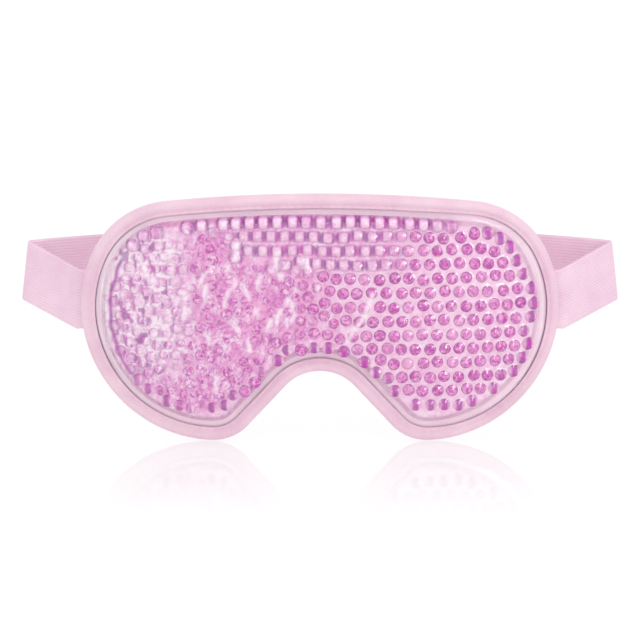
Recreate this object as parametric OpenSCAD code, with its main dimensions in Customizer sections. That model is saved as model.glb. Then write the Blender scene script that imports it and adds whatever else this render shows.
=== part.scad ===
// Gel-bead eye mask on an elastic head strap, in millimetres.
// +Z is up and the mask faces -Y. The origin is the middle of the plush surface that rests on the face.

/* [Mask outline] */
// Width of the mask from side to side
mask_w = 200; // [190:1:210]
// Height of the top edge above the middle line
top_h = 52; // [48:1:56]
// Depth of the two cheek lobes below the middle line
lobe_drop = 53; // [50:1:56]
// Radius of the long flat arc of the top edge
top_r = 500; // [400:10:700]
// Radius of the shoulders between the top edge and the sides
shoulder_r = 39; // [34:1:44]
// Radius of the rounded sides
side_r = 55; // [52:1:58]
// Radius of the lobes' corners beside the nose
toe_r = 20; // [18:1:22]
// Radius of the nose arch
nose_r = 19.5; // [17:0.5:22]
// Depth of the nose arch's crown below the middle line
nose_drop = 23; // [20:1:26]
// Radius to which the mask bends round the face
face_r = 350; // [320:10:500]

/* [Layers] */
// Thickness of the plush backing, pile included
plush_t = 3; // [2:0.5:4]
// Thickness of each clear film
film_t = 0.4; // [0.3:0.1:0.6]
// Depth of the gel space between the films
gel_t = 6.3; // [6.1:0.1:8]
// Distance from the mask's edge to the wall of the gel pouch
weld_inset = 8.2; // [7.5:0.1:10]
// Diameter of a gel bead
bead_d = 5.9; // [5:0.1:6]
// Distance between neighbouring beads in a row
bead_pitch = 6.2; // [6.2:0.1:7]
// Distance between rows of beads
row_pitch = 6; // [5.9:0.1:6.5]

/* [Binding] */
// Width of the fabric edge binding on each face
bind_w = 6; // [5:0.5:7]
// Thickness of the binding fabric
bind_t = 1; // [0.6:0.1:1.2]
// Distance from the mask's edge to the binding's stitch line
stitch_inset = 4.8; // [4:0.1:5]
// Distance from one stitch to the next
stitch_pitch = 3.4; // [3:0.1:4.5]
// Length of one stitch
stitch_l = 2.5; // [2:0.1:2.8]
// Thickness of the sewing thread
thread_d = 0.35; // [0.25:0.05:0.5]

/* [Strap] */
// Width of the elastic strap
strap_w = 25; // [20:1:27]
// Thickness of the elastic strap
strap_t = 1.6; // [1.2:0.1:1.8]
// Distance from the mask's side to the line where the strap flexes off its seam
seam_out = 1.5; // [1.3:0.1:2]
// Height of the strap's centre line where it is sewn to the mask
seam_z = 4; // [0:1:8]
// Distance from the mask's side out to each side crease
crease_out = 24.5; // [22:0.5:28]
// Distance of the side creases behind the mask's back
crease_y = 38; // [34:1:42]
// Height of the strap's centre line from the creases round the back
rear_z = 12.5; // [10:0.5:15]
// Distance of the strap's middle behind the mask's back
rear_y = 72; // [66:1:80]
// Lean of the side creases, top inward, in degrees
crease_lean = 7; // [0:1:10]

/* [Closure] */
// Height of the hook tab and of the loop tape
tape_h = 20; // [16:1:22]
// Thickness of the loop tape
loop_t = 1.2; // [1:0.1:1.2]
// Thickness of the hook tab
tab_t = 1.4; // [1:0.1:1.8]
// Extra thickness of the folded hem at the end of the right strap
hem_t = 1.5; // [1.5:0.1:1.8]
// Places along the back, right of the middle: end of the hem and root of the tab
hem_x = 44; // [42:1:50]
// End of the right strap, where the hook tab leaves it
right_end_x = 32; // [30:1:36]
// End of the left strap and of its loop tape, right of the middle
left_end_x = 24; // [20:1:26]
// Start of the loop tape, left of the middle
loop_x = 40; // [34:1:48]
// Tip of the hook tab, left of the middle
tab_tip_x = 24; // [20:1:28]

/* [Hidden] */

// Small space between faces that lie on each other, so that they never overlap.
skin = 0.02;
// Length of strap left free on each side of a seam hinge and of a crease.
seam_gap = 0.6;
crease_gap = 1.3;
// Width of the strap end that is sewn behind the binding.
sewn_w = 8;
// Step between the sections of a swept band, and the sections of a short one.
band_step = 8;
side_sections = 6;
// Points on each arc of the outline: top, shoulder, side, toe and nose.
arc_steps = [6, 8, 14, 6, 6];
// Rows and columns tried for a bead on each side of the middle.
bead_rows = 8;
bead_columns = 16;
// Half the height of the tool that cuts the bent layers.
layer_h = 60;

// Radii of the layers about the vertical axis that the mask is bent round.
plush_face = face_r;
film_back = plush_face + plush_t;
gel_back = film_back + film_t;
gel_front = gel_back + gel_t;
film_front = gel_front + film_t;
flange_front = gel_back + film_t;
bind_back = plush_face - bind_t;
bind_front = flange_front + bind_t;

// Centres of the outline's arcs, and the headings where they meet.
side_c = [mask_w / 2 - side_r, side_r - lobe_drop];
toe_c = [side_c[0], toe_r - lobe_drop];
nose_c = [0, -nose_drop - nose_r];
top_c = [0, top_h - top_r];
shoulder_c = circles_meet(top_c, top_r - shoulder_r, side_c, side_r - shoulder_r);
top_end = heading(shoulder_c - top_c);
shoulder_end = heading(shoulder_c - side_c);
toe_end = heading(nose_c - toe_c) + acos((toe_r + nose_r) / norm(nose_c - toe_c));

// Distances of the seam hinges and of the creases from the middle of the mask.
seam_x = mask_w / 2 + seam_out;
crease_x = mask_w / 2 + crease_out;
// Place of the seam hinge behind the mask's back, in the middle of the strap's thickness.
seam_y = face_r - sqrt(pow(bind_back - skin - strap_t / 2, 2) - seam_x * seam_x);
// Directions at a crease: the plan heading of the rear strap, and the crease line itself.
rear_dir = unit([-crease_x, 2 * (rear_y - crease_y), 0]);
crease_dir = rear_dir * sin(crease_lean) + [0, 0, cos(crease_lean)];

// Faces of the folded hem and of the hook tab, measured from the middle of the strap's thickness.
hem_outer = strap_t / 2 + hem_t;
tab_inner = hem_outer + skin;
tab_outer = tab_inner + tab_t;

function polar(r, a) = [r * cos(a), r * sin(a)];
function heading(v) = atan2(v[1], v[0]);
function unit(v) = v / norm(v);
function mix(a, b, t) = a + (b - a) * t;

// The lower of the two points that lie r0 from c0 and r1 from c1.
function circles_meet(c0, r0, c1, r1) =
    let (d = norm(c1 - c0), u = (c1 - c0) / d, x = (r0 * r0 - r1 * r1 + d * d) / (2 * d))
    c0 + u * x + [u[1], -u[0]] * sqrt(max(0, r0 * r0 - x * x));

// Arcs of the right half of the outline, drawn in by t: centre, radius, first and last heading.
function edge_arcs(t) = [
    [top_c, top_r - t, 90, top_end],
    [shoulder_c, shoulder_r - t, top_end, shoulder_end],
    [side_c, side_r - t, shoulder_end, -90],
    [toe_c, toe_r - t, -90, toe_end],
    [nose_c, nose_r + t, toe_end + 180, 90]
];

// Right half of the outline from the top down to the nose arch, and the whole outline.
function half_edge(t) = [
    for (k = [0 : 4], i = [0 : arc_steps[k] - 1])
        let (a = edge_arcs(t)[k]) a[0] + polar(a[1], mix(a[2], a[3], i / arc_steps[k])),
    [0, -nose_drop + t]
];
function edge_points(t) =
    let (half = half_edge(t), last = len(half) - 1)
    concat(half, [for (i = [last - 1 : -1 : 1]) [-half[i][0], half[i][1]]]);

// Is the point inside the closed outline?
function inside(p, edge) = len([
    for (i = [0 : len(edge) - 1])
        let (a = edge[i], b = edge[(i + 1) % len(edge)])
        if ((a[1] > p[1]) != (b[1] > p[1]) &&
            p[0] < a[0] + (b[0] - a[0]) * (p[1] - a[1]) / (b[1] - a[1])) 1
]) % 2 == 1;

// Plan shape of the strap round the back: the point at x, and its outward normal.
function rear_point(x) = [x, rear_y - (rear_y - crease_y) * pow(x / crease_x, 2), rear_z];
function rear_out(x) = unit([2 * (rear_y - crease_y) * x / pow(crease_x, 2), 1, 0]);

// Places of the sections along the back from a down to b: both ends and each whole step between.
function rear_stops(a, b) = concat(
    [a],
    [for (x = [25 * band_step : -band_step : -25 * band_step]) if (x < a - 1 && x > b + 1) x],
    [b]
);

// A band through sections given as four corners each, as one closed solid.
module band(rings) {
    last = len(rings) - 1;
    polyhedron(
        points = [for (ring = rings, p = ring) p],
        faces = concat(
            [[3, 2, 1, 0], [for (k = [0 : 3]) 4 * last + k]],
            [for (i = [0 : last - 1], k = [0 : 3], half = [0, 1])
                let (a = 4 * i + k, b = 4 * i + (k + 1) % 4)
                half == 0 ? [a, b, b + 4] : [a, b + 4, a + 4]]
        )
    );
}

// One section: centre, half-height vector, outward normal, and how far the inner and outer faces lie along it.
function section(c, up, out, inner, outer) = [
    c - up + out * inner, c + up + out * inner, c + up + out * outer, c - up + out * outer
];

// A band of height h that follows the back of the strap between two faces.
module rear_band(from_x, to_x, h, inner, outer) {
    band([for (x = rear_stops(from_x, to_x))
        section(rear_point(x), [0, 0, h / 2], rear_out(x), inner, outer)]);
}

// Cuts the layer between two radii from an outline drawn as seen from the front.
module bent(r0, r1) {
    intersection() {
        rotate([90, 0, 0]) linear_extrude(height = 120, center = true) children();
        translate([0, face_r, -layer_h]) difference() {
            cylinder(r = r1, h = 2 * layer_h, $fn = 180);
            translate([0, 0, -1]) cylinder(r = r0, h = 2 * layer_h + 2, $fn = 180);
        }
    }
}

module edge_shape(t) {
    polygon(edge_points(t));
}

// One row of stitches along the whole binding, drawn as seen from the front.
module stitch_line() {
    for (side = [-1, 1]) scale([side, 1]) {
        for (a = edge_arcs(stitch_inset)) {
            n = round(abs(a[3] - a[2]) * PI / 180 * a[1] / stitch_pitch);
            for (i = [0 : n - 1]) {
                turn = mix(a[2], a[3], (i + 0.5) / n);
                translate(a[0] + polar(a[1], turn)) rotate(turn)
                    square([thread_d, stitch_l], center = true);
            }
        }
        from = toe_c + polar(toe_r - stitch_inset, toe_end);
        to = nose_c + polar(nose_r + stitch_inset, toe_end + 180);
        n = round(norm(to - from) / stitch_pitch);
        for (i = [0 : n - 1])
            translate(mix(from, to, (i + 0.5) / n)) rotate(toe_end)
                square([thread_d, stitch_l], center = true);
    }
}

module plush_backing() {
    color("lavenderblush") bent(plush_face, film_back) edge_shape(bind_t);
}

module rear_film() {
    color("plum") bent(film_back, gel_back) edge_shape(bind_t);
}

// Flat flange round a raised tray that holds the gel.
module front_film() {
    color("thistle", 0.5) difference() {
        union() {
            bent(gel_back, flange_front) edge_shape(bind_t);
            bent(gel_back, film_front) edge_shape(weld_inset);
        }
        bent(gel_back - 1, gel_front) edge_shape(weld_inset + film_t);
    }
}

// One layer of beads in staggered rows that follow the bend of the mask.
module gel_beads() {
    room = edge_points(weld_inset + film_t + bead_d / 2 + skin);
    centre_r = gel_back + gel_t / 2;
    color("orchid")
    for (j = [-bead_rows : bead_rows], i = [-bead_columns : bead_columns]) {
        x = (i + (j % 2 == 0 ? 0 : 0.5)) * bead_pitch;
        z = (j + 0.75) * row_pitch;
        if (inside([x, z], room))
            translate([x, face_r - sqrt(centre_r * centre_r - x * x), z])
                sphere(d = bead_d, $fn = 16);
    }
}

// Folded tape that wraps the edge of every layer.
module edge_binding() {
    color("pink") difference() {
        bent(bind_back, bind_front) difference() {
            edge_shape(0);
            edge_shape(bind_w);
        }
        bent(plush_face, flange_front) edge_shape(bind_t);
    }
}

module binding_needle_thread() {
    color("mistyrose") bent(bind_front + skin, bind_front + thread_d) stitch_line();
}

module binding_bobbin_thread() {
    color("mistyrose") bent(bind_back - thread_d, bind_back - skin) difference() {
        stitch_line();
        // The strap ends cover the thread at the two sides.
        for (side = [-1, 1])
            translate([side * mask_w / 2, seam_z]) square([2 * sewn_w + 2, strap_w + 4], center = true);
    }
}

// End of the elastic, sewn flat behind the binding at the side of the mask.
module strap_end(side) {
    x1 = seam_x - seam_gap;
    bent(bind_back - skin - strap_t, bind_back - skin)
        translate([side * (x1 - sewn_w / 2), seam_z]) square([sewn_w, strap_w], center = true);
}

// Two rows of stitches on the strap end, and their other side on the front of the binding.
module seam_stitches(side) {
    strap_face = bind_back - skin - strap_t;
    rows = [mask_w / 2 - 4.6, mask_w / 2 - 1.6];
    count = floor((strap_w - 4) / stitch_pitch);
    bent(strap_face - thread_d, strap_face - skin)
        for (x = rows, i = [0 : count - 1])
            translate([side * x, seam_z + (i - (count - 1) / 2) * stitch_pitch])
                square([thread_d, stitch_l], center = true);
    bent(bind_front + skin, bind_front + thread_d)
        for (i = [0 : count - 1])
            translate([side * rows[1], seam_z + (i - (count - 1) / 2) * stitch_pitch])
                square([thread_d, stitch_l], center = true);
}

// Elastic from the seam out and back to the side crease.
module strap_side() {
    seam = [seam_x, seam_y, seam_z];
    crease = [crease_x, crease_y, rear_z];
    run = unit([crease_x - seam_x, crease_y - seam_y, 0]);
    out = [run[1], -run[0], 0];
    slope = atan((rear_z - seam_z) / norm([crease_x - seam_x, crease_y - seam_y]));
    first = seam_gap / norm(crease - seam);
    last = 1 - crease_gap / norm(crease - seam);
    band([for (i = [0 : side_sections])
        let (t = mix(first, last, i / side_sections), up = mix([0, 0, 1] / cos(slope), crease_dir, t))
        section(mix(seam, crease, t), up * strap_w / 2, out, -strap_t / 2, strap_t / 2)]);
}

// One section of a rear strap, with its outer face at the given distance.
function rear_section(x, outer) =
    section(rear_point(x), [0, 0, strap_w / 2], rear_out(x), -strap_t / 2, outer);

// The first section of a rear strap lies along its leaning crease, just clear of it.
function crease_section() =
    section([crease_x, crease_y, rear_z] + rear_dir * crease_gap, crease_dir * strap_w / 2,
        rear_out(crease_x), -strap_t / 2, strap_t / 2);

module right_strap_end() {
    color("pink") strap_end(1);
}

module right_seam_stitches() {
    color("mistyrose") seam_stitches(1);
}

module right_strap_side() {
    color("pink") strap_side();
}

// Elastic from the right crease to its folded and thickened hem.
module right_strap_rear() {
    stops = rear_stops(crease_x - band_step, right_end_x);
    color("palevioletred") band(concat(
        [crease_section()],
        [for (x = stops) if (x > hem_x + 1) rear_section(x, strap_t / 2)],
        [rear_section(hem_x + skin, strap_t / 2), rear_section(hem_x, hem_outer)],
        [for (x = stops) if (x < hem_x - 1) rear_section(x, hem_outer)]
    ));
}

module left_strap_end() {
    color("pink") strap_end(-1);
}

module left_seam_stitches() {
    color("mistyrose") seam_stitches(-1);
}

module left_strap_side() {
    color("pink") mirror([1, 0, 0]) strap_side();
}

// Elastic from the left crease to its cut end past the middle of the back.
module left_strap_rear() {
    color("palevioletred") mirror([1, 0, 0]) band(concat(
        [crease_section()],
        [for (x = rear_stops(crease_x - band_step, -left_end_x)) rear_section(x, strap_t / 2)]
    ));
}

module hook_tab_root() {
    color("hotpink") rear_band(hem_x - 1, right_end_x, tape_h, tab_inner, tab_outer);
}

module hook_tab() {
    color("hotpink") rear_band(right_end_x - 2 * seam_gap, -tab_tip_x, tape_h, tab_inner, tab_outer);
}

// A box of stitches with a cross in it, through the root of the hook tab.
module hook_tab_stitches() {
    x = (hem_x - 1 + right_end_x) / 2;
    half = [(hem_x - 1 - right_end_x) / 2 - 1.5, tape_h / 2 - 2];
    corners = [[-half[0], -half[1]], [half[0], -half[1]], half, [-half[0], half[1]]];
    lines = [[0, 1], [1, 2], [2, 3], [3, 0], [0, 2], [1, 3]];
    color("mistyrose")
    translate(rear_point(x) + rear_out(x) * (tab_outer + skin))
    rotate([90, 0, heading(rear_out(x)) + 90])
    linear_extrude(height = thread_d)
    for (line = lines) {
        from = corners[line[0]];
        to = corners[line[1]];
        n = floor(norm(to - from) / stitch_pitch);
        for (i = [0 : n - 1])
            translate(mix(from, to, (i + 0.5) / n)) rotate(heading(to - from))
                square([stitch_l - 0.6, thread_d], center = true);
    }
}

module loop_tape() {
    color("lightpink")
        rear_band(left_end_x - 1, -loop_x, tape_h, strap_t / 2 + skin, strap_t / 2 + loop_t);
}

// Stitches that hold the loop tape, seen on the face of the strap towards the head.
module loop_tape_stitches() {
    inner = -strap_t / 2 - skin;
    count = floor((left_end_x + loop_x - 5) / stitch_pitch);
    color("mistyrose")
    for (z = [-1, 1], i = [0 : count - 1]) {
        x = left_end_x - 3.5 - (i + 0.5) * stitch_pitch;
        translate(rear_point(x) + rear_out(x) * (inner - thread_d / 2 - skin) + [0, 0, z * (tape_h / 2 - 1.5)])
            rotate(heading(rear_out(x)) - 90)
                cube([stitch_l, thread_d, thread_d], center = true);
    }
}

plush_backing();
rear_film();
gel_beads();
front_film();
edge_binding();
binding_needle_thread();
binding_bobbin_thread();
right_strap_end();
right_seam_stitches();
right_strap_side();
right_strap_rear();
left_strap_end();
left_seam_stitches();
left_strap_side();
left_strap_rear();
hook_tab_root();
hook_tab();
hook_tab_stitches();
loop_tape();
loop_tape_stitches();
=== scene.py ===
"""Gel-bead eye mask on an elastic head strap: its looks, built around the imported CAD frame.

Lengths on the mask and strap are in millimetres in the frame's own axes, and become metres when a
mesh is made. The floor, the lights, the camera's place and distances in materials are in metres.
A place on the mask is (x, z, h): x and z as seen from the front, h in front of the face side.
"""
import math

import bpy
import numpy as np
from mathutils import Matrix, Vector


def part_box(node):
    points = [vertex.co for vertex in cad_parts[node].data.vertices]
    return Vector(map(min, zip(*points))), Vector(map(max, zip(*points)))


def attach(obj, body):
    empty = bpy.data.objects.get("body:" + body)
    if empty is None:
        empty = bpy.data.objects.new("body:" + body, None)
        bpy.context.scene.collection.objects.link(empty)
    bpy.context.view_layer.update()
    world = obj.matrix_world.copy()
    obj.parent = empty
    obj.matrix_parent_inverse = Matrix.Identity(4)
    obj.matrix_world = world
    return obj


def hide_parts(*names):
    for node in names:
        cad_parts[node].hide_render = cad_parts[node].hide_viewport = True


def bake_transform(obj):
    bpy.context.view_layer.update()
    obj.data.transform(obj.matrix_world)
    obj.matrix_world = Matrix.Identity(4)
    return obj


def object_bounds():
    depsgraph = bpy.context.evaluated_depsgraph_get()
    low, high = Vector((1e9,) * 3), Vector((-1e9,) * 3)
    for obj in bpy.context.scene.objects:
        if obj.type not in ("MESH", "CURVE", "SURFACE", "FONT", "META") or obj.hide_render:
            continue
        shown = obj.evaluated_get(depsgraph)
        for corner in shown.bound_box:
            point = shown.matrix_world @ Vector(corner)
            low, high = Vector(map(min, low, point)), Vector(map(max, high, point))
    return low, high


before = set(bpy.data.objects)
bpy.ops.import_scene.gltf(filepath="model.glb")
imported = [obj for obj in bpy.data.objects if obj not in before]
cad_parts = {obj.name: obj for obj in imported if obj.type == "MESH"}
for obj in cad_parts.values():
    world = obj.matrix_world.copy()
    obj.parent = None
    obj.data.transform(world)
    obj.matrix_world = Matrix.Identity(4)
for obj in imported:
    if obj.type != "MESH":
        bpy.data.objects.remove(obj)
cad_low, cad_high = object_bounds()

MM = 0.001
SEED = 7
UP = np.array([0.0, 0.0, 1.0])

# ---------------------------------------------------------------- the mask's shape, as in the CAD
HALF_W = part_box("edge_binding")[1].x / MM
TOP_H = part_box("edge_binding")[1].z / MM
LOBE_DROP = -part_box("edge_binding")[0].z / MM
TOP_R = 500
SHOULDER_R = 39
SIDE_R = 55
TOE_R = 20
NOSE_R = 19.5
NOSE_DROP = 23
FACE_R = 350

# Layers, as heights in front of the face side, and the widths of the edge.
PLUSH_T = 3.0
REAR_FILM_H = 3.4
FLANGE_H = 3.8
FILM_T = 0.3
SHEET_INSET = 1.6
BIND_W = 6.0
BIND_T = 1.0
STITCH_INSET = 4.8
STITCH_PITCH = 3.4
BOX_PITCH = 2.6
THREAD_GAP = 0.05
WELD_INSET = 8.2

# The pouch: its wall, its crowned face, and how the beads press into the film.
WALL_W = 3.6
WALL_H = 5.1
CROWN = 0.9
CROWN_W = 26.0
BUMP = 0.75
BUMP_R = 2.3
BEAD_R = 2.95
BEAD_PITCH = 6.0
ROW_PITCH = 5.95
CROWDED = 0.87
PUSHES = 24
PUSH_GAP = 0.97
FOLD_COUNT = 38
FIRST_ROW_Z = 40.7
BEAD_PROUD = 0.45
GEL_BELOW = 0.75

# ---------------------------------------------------------------- the strap, as in the CAD
STRAP_W = 25.0
STRAP_T = 1.6
RIBS = 20
RIB_STEPS = 4
RIB_H = 0.13
SEAM_X = HALF_W + 1.5
SEAM_Z = 4.0
SEWN_L = 8.6
CREASE_X = HALF_W + 24.5
CREASE_Y = 38.0
CREASE_LEAN = 7.0
CREASE_PULL = 1.7
CREASE_BEND = 1.3
MEET = 0.91
SLIM = 0.02
LAST_RING = 0.003
REAR_Z = 12.5
REAR_Y = 72.0
RIGHT_END_X = 32.0
LEFT_END_X = 24.0
HEM_X = 44.0
HEM_T = 1.5
TAPE_H = 20.0
TAB_T = 1.4
TAB_TIP_X = -24.0
TAPE_GAP = 0.02
TAB_INSET = STRAP_T / 2 + HEM_T + TAPE_GAP
LOOP_T = 1.2
TAPE_STOPS = 90
LOOP_ROOT_X = 23.0
LOOP_TIP_X = -40.0

# ---------------------------------------------------------------- the camera
# The lens is in millimetres, the elevation in degrees, the distance and the target in metres.
LENS = 322.5
CAMERA_ELEVATION = 11
CAMERA_DISTANCE = 2.4
CAMERA_TARGET = (0.0, 0.012, -0.0041)

# ---------------------------------------------------------------- the floor
FLOOR_REACH = 12.0
FLOOR_GAP = 0.0003


# ---------------------------------------------------------------- small helpers
def smooth(a, b, x):
    """0 below a, 1 above b, and a smooth rise between them."""
    t = np.clip((np.asarray(x, float) - a) / (b - a), 0, 1)
    return t * t * (3 - 2 * t)


def mix(a, b, weight):
    """Blend of two colours, or arrays of colours, by a weight for each."""
    return a + (b - a) * np.asarray(weight, float)[..., None]


def rgb(code):
    """Linear colour from a web colour."""
    c = np.array([int(code[i:i + 2], 16) for i in (0, 2, 4)]) / 255
    return np.where(c <= 0.04045, c / 12.92, ((c + 0.055) / 1.055) ** 2.4)


def unit(v):
    """Vectors of length one along those given."""
    v = np.asarray(v, float)
    return v / np.linalg.norm(v, axis=-1, keepdims=True)


def value_noise(x, y, seed=0):
    """Smooth noise from -1 to 1 over a plane, the same on every run."""
    def corner(i, j):
        n = np.sin(i * 127.1 + j * 311.7 + seed * 74.7) * 43758.5453
        return 2 * (n - np.floor(n)) - 1
    i, j = np.floor(x), np.floor(y)
    u, v = smooth(0, 1, x - i), smooth(0, 1, y - j)
    low = corner(i, j) * (1 - u) + corner(i + 1, j) * u
    high = corner(i, j + 1) * (1 - u) + corner(i + 1, j + 1) * u
    return low * (1 - v) + high * v


def make(name, verts, faces, material, body=None, colours=None):
    """A smooth mesh with flat end caps from points in millimetres, and a colour at each if given.

    The colours given carry painted light and shade; a colour's fourth number, when there is one, says how
    strongly the gel's streaks show.
    """
    mesh = bpy.data.meshes.new(name)
    mesh.from_pydata((np.asarray(verts) * MM).tolist(), [], faces)
    if colours is not None:
        tint_and_shading = mesh.attributes.new("tint_and_shading", "FLOAT_COLOR", "POINT")
        rgba = np.ones((len(verts), 4), np.float32)
        rgba[:, :colours.shape[1]] = colours
        tint_and_shading.data.foreach_set("color", rgba.ravel())
    mesh.polygons.foreach_set("use_smooth", [len(face) <= 4 for face in faces])
    piece = bpy.data.objects.new(name, mesh)
    bpy.context.scene.collection.objects.link(piece)
    mesh.materials.append(material)
    if body:
        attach(piece, body)
    return piece


def grid_faces(rows, columns, around=False, start=0, flip=False):
    """Quads over a grid of points stored row by row, closed round its columns if asked."""
    faces = []
    for i in range(rows - 1):
        for k in range(columns if around else columns - 1):
            a, b = start + i * columns + k, start + i * columns + (k + 1) % columns
            quad = [a, b, b + columns, a + columns]
            faces.append(quad[::-1] if flip else quad)
    return faces


def sweep(rings, closed_path=False, flip=False):
    """Points and faces of a tube through rings of points, with end caps unless it closes."""
    rings = np.asarray(rings)
    n, k = rings.shape[:2]
    verts = rings.reshape(-1, 3)
    faces = grid_faces(n, k, True, flip=flip)
    last = (n - 1) * k
    if closed_path:
        for i in range(k):
            quad = [last + i, last + (i + 1) % k, (i + 1) % k, i]
            faces.append(quad[::-1] if flip else quad)
    else:
        ends = [list(range(k))[::-1], list(range(last, last + k))]
        faces += [end[::-1] if flip else end for end in ends]
    return verts, faces


# ---------------------------------------------------------------- the outline
def outline_arcs():
    """Arcs of the right half: centre, radius, first and last heading, and which way is inward."""
    side = np.array([HALF_W - SIDE_R, SIDE_R - LOBE_DROP])
    toe = np.array([side[0], TOE_R - LOBE_DROP])
    nose = np.array([0, -NOSE_DROP - NOSE_R])
    top = np.array([0, TOP_H - TOP_R])
    far, near = TOP_R - SHOULDER_R, SIDE_R - SHOULDER_R
    d = np.linalg.norm(side - top)
    u = (side - top) / d
    along = (far**2 - near**2 + d**2) / (2 * d)
    shoulder = top + u * along + np.array([u[1], -u[0]]) * math.sqrt(far**2 - along**2)
    heading = lambda v: math.atan2(v[1], v[0])
    top_end, shoulder_end = heading(shoulder - top), heading(shoulder - side)
    to_nose = nose - toe
    toe_end = heading(to_nose) + math.acos((TOE_R + NOSE_R) / np.linalg.norm(to_nose))
    quarter = math.pi / 2
    return [
        (top, TOP_R, quarter, top_end, -1),
        (shoulder, SHOULDER_R, top_end, shoulder_end, -1),
        (side, SIDE_R, shoulder_end, -quarter, -1),
        (toe, TOE_R, -quarter, toe_end, -1),
        (nose, NOSE_R, toe_end + math.pi, quarter, 1),
    ]


def outline(step):
    """Points round the whole outline, clockwise from the top, and their inward directions."""
    points, inward = [], []
    before = None
    for centre, r, start, stop, sign in outline_arcs():
        angles = np.linspace(start, stop, max(2, round(abs(stop - start) * r / step)), False)
        out = np.stack([np.cos(angles), np.sin(angles)], 1)
        here = centre + r * out
        if before is not None and np.linalg.norm(here[0] - before[0]) > 2 * step:
            f = np.linspace(0, 1, round(np.linalg.norm(here[0] - before[0]) / step), False)[:, None]
            points.extend(before[0] * (1 - f) + here[0] * f)
            inward.extend(np.repeat([before[1]], len(f), 0))
        points.extend(here)
        inward.extend(out * sign)
        end = np.array([math.cos(stop), math.sin(stop)])
        before = (centre + r * end, end * sign)
    points, inward = np.array(points), np.array(inward)
    mirror = np.array([-1, 1])
    return (
        np.concatenate([points, [[0, -NOSE_DROP]], points[:0:-1] * mirror]),
        np.concatenate([inward, [[0, 1]], inward[:0:-1] * mirror]),
    )


EDGE, INWARD = outline(0.8)
FINE_EDGE = outline(0.3)[0]


def nearest(places, points, scale=None):
    """For each place, the distance to the nearest point, and that point's index."""
    flat = np.stack([np.ravel(v) for v in places], 1)
    scale = np.ones(len(points)) if scale is None else scale
    dist, index = np.empty(len(flat)), np.empty(len(flat), int)
    for i in range(0, len(flat), 2000):
        gap = ((flat[i:i + 2000, None] - points[None]) ** 2).sum(2) * scale**2
        index[i:i + 2000] = gap.argmin(1)
        dist[i:i + 2000] = np.sqrt(gap.min(1))
    shape = np.shape(places[0])
    return dist.reshape(shape), index.reshape(shape)


def inset_of(x, z):
    """How far inside the outline each place is."""
    return nearest((x, z), FINE_EDGE)[0]


def bend(x, z, h):
    """Points in the frame for places on the bent mask."""
    x, z, h = np.broadcast_arrays(np.asarray(x, float), z, h)
    return np.stack([x, FACE_R - np.sqrt((FACE_R + h) ** 2 - x * x), z], -1)


def bend_out(x):
    """Direction away from the face at x."""
    x = np.asarray(x, float)
    return np.stack([x, -np.sqrt(FACE_R**2 - x * x), 0 * x], -1) / FACE_R


def mask_grid(inset, columns, rows):
    """A grid of places that fills the outline drawn in by inset."""
    loop = EDGE + INWARD * inset
    right, left = int(np.argmax(loop[:, 0])), int(np.argmin(loop[:, 0]))
    top = np.concatenate([loop[left:], loop[:right + 1]])
    low = loop[right:left + 1][::-1]
    u = np.linspace(-1, 1, columns)
    x = (loop[right, 0] - 0.05) * (0.45 * u + 0.55 * np.sin(u * math.pi / 2))
    z_top = np.interp(x, top[:, 0], top[:, 1])
    z_low = np.interp(x, low[:, 0], low[:, 1])
    f = np.linspace(0, 1, rows)[:, None]
    return np.broadcast_to(x, (rows, columns)), z_low + (z_top - z_low) * f


def slab(name, place, front_h, back_h, material, colours=None):
    """A closed sheet on the mask, from one height to another over a grid of places."""
    x, z = place
    rows, columns = x.shape
    count = rows * columns
    verts = np.concatenate([bend(x, z, h).reshape(-1, 3) for h in (front_h, back_h)])
    faces = grid_faces(rows, columns) + grid_faces(rows, columns, start=count, flip=True)
    index = np.arange(count).reshape(rows, columns)
    rim = np.concatenate([index[0], index[1:, -1], index[-1, -2::-1], index[-2:0:-1, 0]]).tolist()
    faces += [[b, a, a + count, b + count] for a, b in zip(rim, rim[1:] + rim[:1])]
    if colours is not None:
        colours = np.concatenate([colours.reshape(count, -1)] * 2)
    return make(name, verts, faces, material, "mask", colours)


# ---------------------------------------------------------------- the beads' places
def looseness(x, z):
    """Low where the beads lie in even rows, 1 where they are jumbled."""
    left = 1 - smooth(-22, 20, x + 0.25 * z)
    rows = smooth(20, 28, z) * smooth(-40, -32, x)
    wall = 1 - smooth(12, 17, inset_of(x, z))
    return np.clip(left * (1 - rows) * (1 - 0.7 * wall) + 0.1, 0, 1)


def bead_room(x, z):
    """How far inside the outline the beads' centres begin: further in at the left and in the toes.

    Known fault: they begin one radius inside the weld, but the pouch's wall slopes over WALL_W there,
    so the outermost beads stand up to 1.7 mm through it.
    """
    low = 1 - smooth(-40, -28, z)
    corner = (1 - smooth(-82, -62, x)) * (1 - smooth(-34, -14, z))
    left = (1 - smooth(-88, -74, x)) * smooth(-34, -24, z) * (1 - smooth(24, 32, z))
    return WELD_INSET + BEAD_R + 2.6 * low + 2.6 * corner + 3.4 * left


def bead_rows(spacing):
    """Staggered rows of places over the whole mask."""
    return np.array([
        ((i + 0.5 * (j % 2)) * BEAD_PITCH * spacing + 0.6, FIRST_ROW_Z - j * ROW_PITCH * spacing)
        for j in range(20) for i in range(-20, 20)
    ])


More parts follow.
